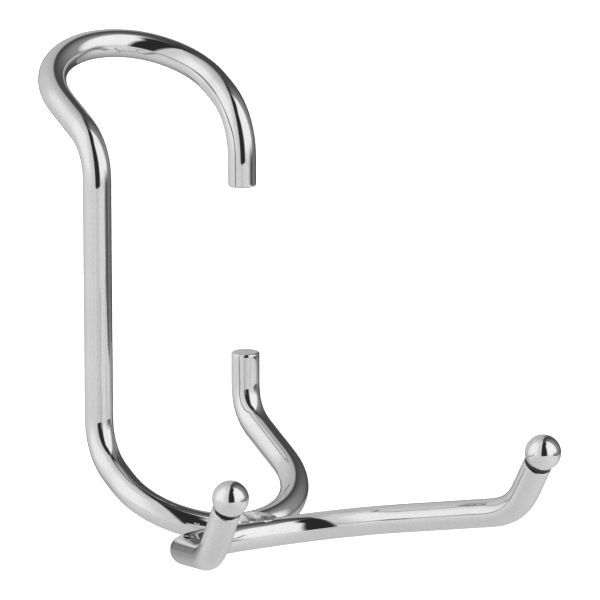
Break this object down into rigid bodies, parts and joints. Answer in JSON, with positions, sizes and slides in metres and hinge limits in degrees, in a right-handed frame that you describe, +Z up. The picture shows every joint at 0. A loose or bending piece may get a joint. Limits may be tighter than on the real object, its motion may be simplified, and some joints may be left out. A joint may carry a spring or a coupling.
{
  "type": "post-mounted bag holder",
  "caption": "Chrome wire bag holder: a bent rod that hooks round a post, with a wide U-shaped arm rod in front whose upturned ends carry balls.",
  "frame": {"origin": "on the axis of the post that the hook rod grips, level with the middle of the hook rod's open side", "axes": "+Z up along the post, +X forward towards the bag arms, +Y towards the hook rod's open side"},
  "size_m": [0.1701, 0.1084, 0.1314],
  "materials": {
    "rod_chrome": "bright chrome plating on steel rod",
    "weld_chrome": "bright chrome plating over a lumpy weld",
    "ball_chrome": "polished bright chrome plating"
  },
  "bodies": {
    "root": {"hook_rod": "rod_chrome", "arm_rod": "rod_chrome", "weld_bead": "weld_chrome", "right_ball": "ball_chrome", "left_ball": "ball_chrome"}
  },
  "joints": []
}
